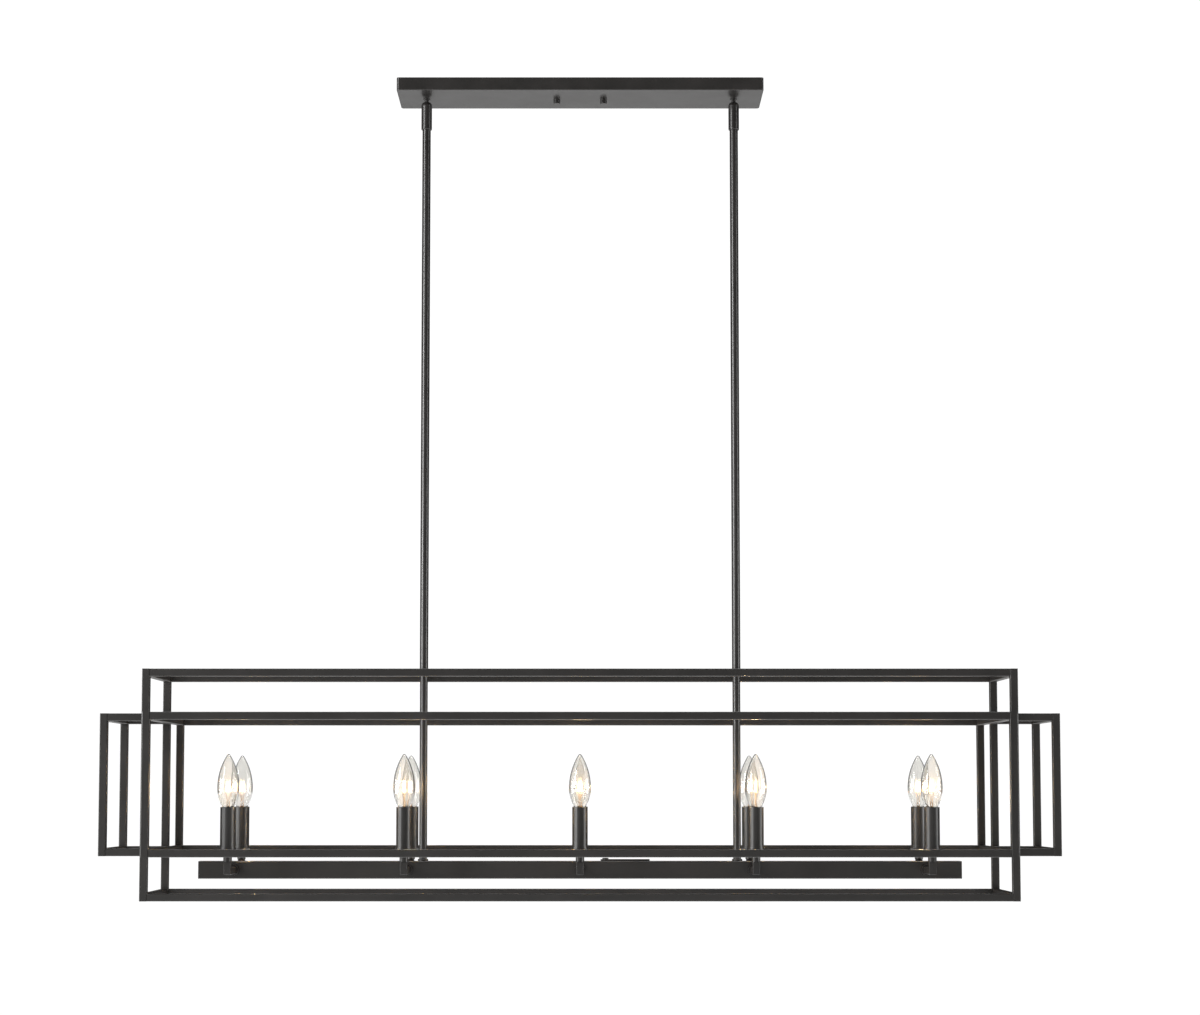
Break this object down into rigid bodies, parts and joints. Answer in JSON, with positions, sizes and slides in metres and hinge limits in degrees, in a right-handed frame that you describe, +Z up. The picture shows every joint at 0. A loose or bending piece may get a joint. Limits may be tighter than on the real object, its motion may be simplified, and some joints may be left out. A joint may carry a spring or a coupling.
{
  "type": "linear island pendant",
  "caption": "Black linear island pendant with interlocking open box frames and candle lights, hung on two rods.",
  "frame": {"origin": "middle of the canopy's rim, on the ceiling, between the two outlet-box holes", "axes": "+Z up into the ceiling, +X along the length, -Y towards the front"},
  "size_m": [1.3716, 0.3048, 1.2029],
  "materials": {
    "black_metal": "satin black powder coat",
    "sleeve_black": "smooth semi-gloss black",
    "zinc_steel": "zinc plated",
    "lamp_metal": "thin bright screw shell",
    "dark_plastic": "moulded, matte",
    "clear_glass": "clear"
  },
  "bodies": {
    "ceiling_end": {"canopy": "black_metal", "mounting_strap": "zinc_steel", "canopy_studs": "zinc_steel", "stud_lock_nuts": "zinc_steel", "swivel_balls": "black_metal", "swivel_lock_nuts": "zinc_steel"},
    "cap_nut_left": {"cap_nut_left": "black_metal"},
    "cap_nut_right": {"cap_nut_right": "black_metal"},
    "pendant": {"swivel_sockets": "black_metal", "swivel_retainers": "zinc_steel", "short_rods": "black_metal", "medium_rods": "black_metal", "upper_long_rods": "black_metal", "lower_long_rods": "black_metal", "threaded_nipples": "zinc_steel", "lock_nuts": "zinc_steel", "frame_straps": "black_metal", "frame_stems": "black_metal", "bar_collars": "black_metal", "light_bar": "black_metal", "bar_end_caps": "black_metal", "cover_plate": "black_metal", "cover_screw": "black_metal", "tall_frame_long_rails": "black_metal", "tall_frame_end_rails": "black_metal", "tall_frame_posts": "black_metal", "deep_frame_long_rails": "black_metal", "deep_frame_end_rails": "black_metal", "deep_frame_posts": "black_metal", "end_frame_stubs": "black_metal", "end_frame_rails": "black_metal", "end_frame_posts": "black_metal", "arm_bosses": "black_metal", "candle_arms": "black_metal", "candle_necks": "black_metal", "candle_cups": "black_metal", "candle_sleeves": "sleeve_black", "socket_bodies": "dark_plastic", "socket_shells": "lamp_metal"},
    "lamp_front_1": {"bulb_glass_front_1": "clear_glass", "bulb_base_front_1": "lamp_metal"},
    "lamp_front_2": {"bulb_glass_front_2": "clear_glass", "bulb_base_front_2": "lamp_metal"},
    "lamp_front_3": {"bulb_glass_front_3": "clear_glass", "bulb_base_front_3": "lamp_metal"},
    "lamp_front_4": {"bulb_glass_front_4": "clear_glass", "bulb_base_front_4": "lamp_metal"},
    "lamp_front_5": {"bulb_glass_front_5": "clear_glass", "bulb_base_front_5": "lamp_metal"},
    "lamp_rear_1": {"bulb_glass_rear_1": "clear_glass", "bulb_base_rear_1": "lamp_metal"},
    "lamp_rear_2": {"bulb_glass_rear_2": "clear_glass", "bulb_base_rear_2": "lamp_metal"},
    "lamp_rear_3": {"bulb_glass_rear_3": "clear_glass", "bulb_base_rear_3": "lamp_metal"},
    "lamp_rear_4": {"bulb_glass_rear_4": "clear_glass", "bulb_base_rear_4": "lamp_metal"},
    "lamp_rear_5": {"bulb_glass_rear_5": "clear_glass", "bulb_base_rear_5": "lamp_metal"}
  },
  "joints": [
    {"name": "pendant_swing", "type": "hinge", "parent": "ceiling_end", "child": "pendant", "pos_m": [0, 0, -0.0292], "axis": [1, 0, 0], "range_deg": [-15, 15]},
    {"name": "cap_nut_left_turn", "type": "hinge", "parent": "ceiling_end", "child": "cap_nut_left", "pos_m": [-0.03475, 0, -0.0225], "axis": [0, 0, 1], "continuous": true},
    {"name": "cap_nut_right_turn", "type": "hinge", "parent": "ceiling_end", "child": "cap_nut_right", "pos_m": [0.03475, 0, -0.0225], "axis": [0, 0, 1], "continuous": true},
    {"name": "lamp_front_1_out", "type": "slide", "parent": "pendant", "child": "lamp_front_1", "axis": [0, 0, 1], "range_m": [0, 0.03]},
    {"name": "lamp_front_2_out", "type": "slide", "parent": "pendant", "child": "lamp_front_2", "axis": [0, 0, 1], "range_m": [0, 0.03]},
    {"name": "lamp_front_3_out", "type": "slide", "parent": "pendant", "child": "lamp_front_3", "axis": [0, 0, 1], "range_m": [0, 0.03]},
    {"name": "lamp_front_4_out", "type": "slide", "parent": "pendant", "child": "lamp_front_4", "axis": [0, 0, 1], "range_m": [0, 0.03]},
    {"name": "lamp_front_5_out", "type": "slide", "parent": "pendant", "child": "lamp_front_5", "axis": [0, 0, 1], "range_m": [0, 0.03]},
    {"name": "lamp_rear_1_out", "type": "slide", "parent": "pendant", "child": "lamp_rear_1", "axis": [0, 0, 1], "range_m": [0, 0.03]},
    {"name": "lamp_rear_2_out", "type": "slide", "parent": "pendant", "child": "lamp_rear_2", "axis": [0, 0, 1], "range_m": [0, 0.03]},
    {"name": "lamp_rear_3_out", "type": "slide", "parent": "pendant", "child": "lamp_rear_3", "axis": [0, 0, 1], "range_m": [0, 0.03]},
    {"name": "lamp_rear_4_out", "type": "slide", "parent": "pendant", "child": "lamp_rear_4", "axis": [0, 0, 1], "range_m": [0, 0.03]},
    {"name": "lamp_rear_5_out", "type": "slide", "parent": "pendant", "child": "lamp_rear_5", "axis": [0, 0, 1], "range_m": [0, 0.03]}
  ]
}
